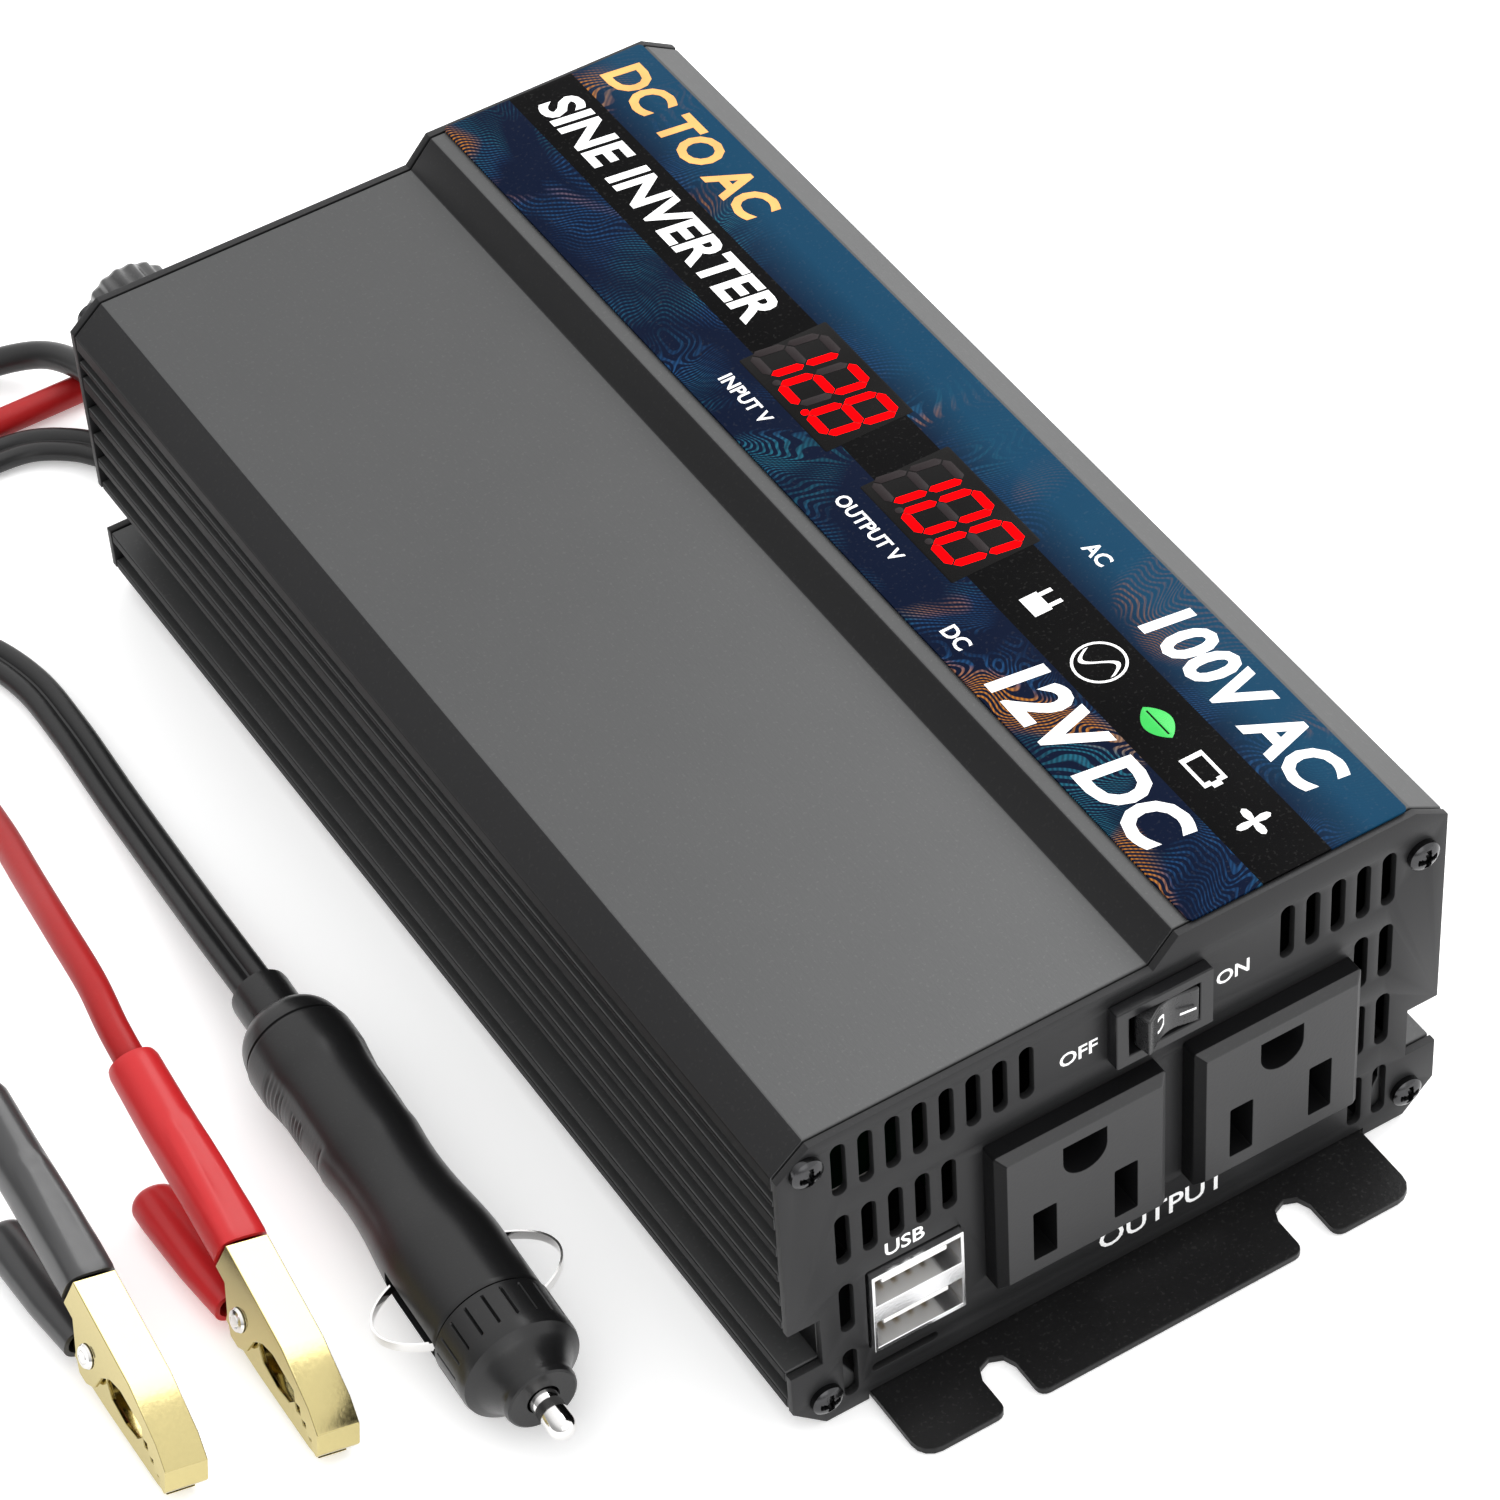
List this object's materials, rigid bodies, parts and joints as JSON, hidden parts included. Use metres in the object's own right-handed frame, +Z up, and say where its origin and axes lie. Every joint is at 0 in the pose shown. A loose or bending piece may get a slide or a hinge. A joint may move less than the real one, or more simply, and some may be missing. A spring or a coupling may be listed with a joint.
{
  "type": "power inverter",
  "caption": "Small power inverter: ribbed aluminium case with mains outlets and USB ports at the front, fan and binding posts at the rear, with clamp leads and a vehicle socket lead.",
  "frame": {"origin": "on the floor under the middle of the case, in the flat bottom face", "axes": "+X to the right when facing the outlets, +Y to the rear, where the binding posts are, +Z up"},
  "size_m": [0.1817, 0.2638, 0.0605],
  "materials": {
    "case_grey": "sand-blasted grey anodising, satin",
    "foot_black": "black powder coat, satin",
    "screw_steel": "dark nickel plate",
    "label_print": "printed polycarbonate sheet, gloss",
    "display_window": "dark red tinted display, gloss",
    "board_green": "green solder mask, satin",
    "outlet_plastic": "moulded dark grey, matt",
    "usb_steel": "tin plate, satin",
    "usb_white": "moulded white, satin",
    "switch_black": "moulded black, satin to gloss",
    "ferrite": "sintered dark grey, matt",
    "winding_copper": "enamelled copper wire, satin",
    "capacitor_sleeve": "black shrink sleeve, gloss",
    "fan_black": "moulded black, satin",
    "post_red": "moulded red, satin",
    "post_black": "moulded black, satin",
    "stud_brass": "machined brass, satin",
    "terminal_tin": "tin plate, satin",
    "lead_red": "soft PVC, satin",
    "lead_black": "soft PVC, satin",
    "plug_black": "moulded black, satin",
    "contact_nickel": "nickel plate, polished",
    "clamp_gold": "bright brass plate on pressed steel",
    "clamp_rivet": "nickel plate, polished",
    "sleeve_red": "glossy soft PVC",
    "sleeve_black": "glossy soft PVC"
  },
  "bodies": {
    "case": {"upper_shell": "case_grey", "lower_shell": "case_grey", "front_panel": "case_grey", "rear_panel": "case_grey", "front_foot": "foot_black", "rear_foot": "foot_black", "front_screw_top_left": "screw_steel", "front_screw_top_right": "screw_steel", "front_screw_bottom_left": "screw_steel", "front_screw_bottom_right": "screw_steel", "label_sheet": "label_print", "input_display": "display_window", "output_display": "display_window", "display_board": "board_green", "main_board": "board_green", "left_outlet": "outlet_plastic", "right_outlet": "outlet_plastic", "usb_shell": "usb_steel", "usb_tongues": "usb_white", "switch_housing": "switch_black", "transformer_core": "ferrite", "transformer_winding": "winding_copper", "large_capacitor": "capacitor_sleeve", "fan_frame": "fan_black", "red_post_base": "post_red", "black_post_base": "post_black", "red_post_stud": "stud_brass", "black_post_stud": "stud_brass", "red_clamp_terminal": "terminal_tin", "red_plug_terminal": "terminal_tin", "black_clamp_terminal": "terminal_tin", "black_plug_terminal": "terminal_tin", "red_clamp_lead": "lead_red", "plug_lead_red_tail": "lead_red", "black_clamp_lead": "lead_black", "plug_lead": "lead_black", "plug_lead_black_tail": "lead_black", "plug_lead_split": "lead_black", "plug_body": "plug_black", "red_clamp_upper_jaw": "clamp_gold", "black_clamp_upper_jaw": "clamp_gold", "red_clamp_rivet": "clamp_rivet", "black_clamp_rivet": "clamp_rivet", "red_clamp_upper_sleeve": "sleeve_red", "black_clamp_upper_sleeve": "sleeve_black"},
    "rocker": {"switch_rocker": "switch_black"},
    "fan": {"fan_rotor": "fan_black"},
    "red_washer": {"red_post_washer": "terminal_tin"},
    "red_knob": {"red_post_knob": "post_red"},
    "black_washer": {"black_post_washer": "terminal_tin"},
    "black_knob": {"black_post_knob": "post_black"},
    "red_jaw": {"red_clamp_lower_jaw": "clamp_gold", "red_clamp_lower_sleeve": "sleeve_red"},
    "black_jaw": {"black_clamp_lower_jaw": "clamp_gold", "black_clamp_lower_sleeve": "sleeve_black"},
    "fuse": {"plug_fuse": "contact_nickel"},
    "cap": {"plug_cap": "plug_black"},
    "tip": {"plug_tip": "contact_nickel"},
    "left_contact": {"plug_left_contact": "contact_nickel"},
    "right_contact": {"plug_right_contact": "contact_nickel"}
  },
  "joints": [
    {"name": "rocker_tilt", "type": "hinge", "parent": "case", "child": "rocker", "pos_m": [0.0056, -0.0956, 0.0481], "axis": [0, 0, 1], "range_deg": [-20, 0]},
    {"name": "fan_spin", "type": "hinge", "parent": "case", "child": "fan", "pos_m": [-0.0045, 0.091, 0.029], "axis": [0, 1, 0], "continuous": true},
    {"name": "red_washer_lift", "type": "slide", "parent": "case", "child": "red_washer", "axis": [0, 1, 0], "range_m": [0, 0.0035]},
    {"name": "red_knob_turn", "type": "hinge", "parent": "red_washer", "child": "red_knob", "pos_m": [0.026, 0.1092, 0.0386], "axis": [0, 1, 0], "range_deg": [0, 1260]},
    {"name": "black_washer_lift", "type": "slide", "parent": "case", "child": "black_washer", "axis": [0, 1, 0], "range_m": [0, 0.0035]},
    {"name": "black_knob_turn", "type": "hinge", "parent": "black_washer", "child": "black_knob", "pos_m": [-0.036, 0.1092, 0.0386], "axis": [0, 1, 0], "range_deg": [0, 1260]},
    {"name": "red_jaw_open", "type": "hinge", "parent": "case", "child": "red_jaw", "pos_m": [-0.10197, -0.04449, 0.00695], "axis": [0.9537, 0.0239, -0.2998], "range_deg": [0, 8]},
    {"name": "black_jaw_open", "type": "hinge", "parent": "case", "child": "black_jaw", "pos_m": [-0.12151, -0.03848, 0.00695], "axis": [0.9534, 0.0345, -0.2998], "range_deg": [0, 8]},
    {"name": "fuse_slide", "type": "slide", "parent": "case", "child": "fuse", "axis": [-0.0332, -0.9995, 0], "range_m": [0, 0.006]},
    {"name": "cap_unscrew", "type": "hinge", "parent": "fuse", "child": "cap", "pos_m": [-0.07822, -0.07176, 0.00895], "axis": [-0.0332, -0.9995, 0], "range_deg": [0, 1440]},
    {"name": "tip_press", "type": "slide", "parent": "cap", "child": "tip", "axis": [0.0332, 0.9995, 0], "range_m": [0, 0.003]},
    {"name": "left_contact_press", "type": "slide", "parent": "case", "child": "left_contact", "axis": [0.9995, -0.0332, 0], "range_m": [0, 0.0035]},
    {"name": "right_contact_press", "type": "slide", "parent": "case", "child": "right_contact", "axis": [-0.9995, 0.0332, 0], "range_m": [0, 0.0035]}
  ],
  "couplings": [
    {"joint": "red_washer_lift", "follows": "red_knob_turn", "m_per_rad": 0.00015915},
    {"joint": "black_washer_lift", "follows": "black_knob_turn", "m_per_rad": 0.00015915},
    {"joint": "fuse_slide", "follows": "cap_unscrew", "m_per_rad": 0.00023873}
  ]
}
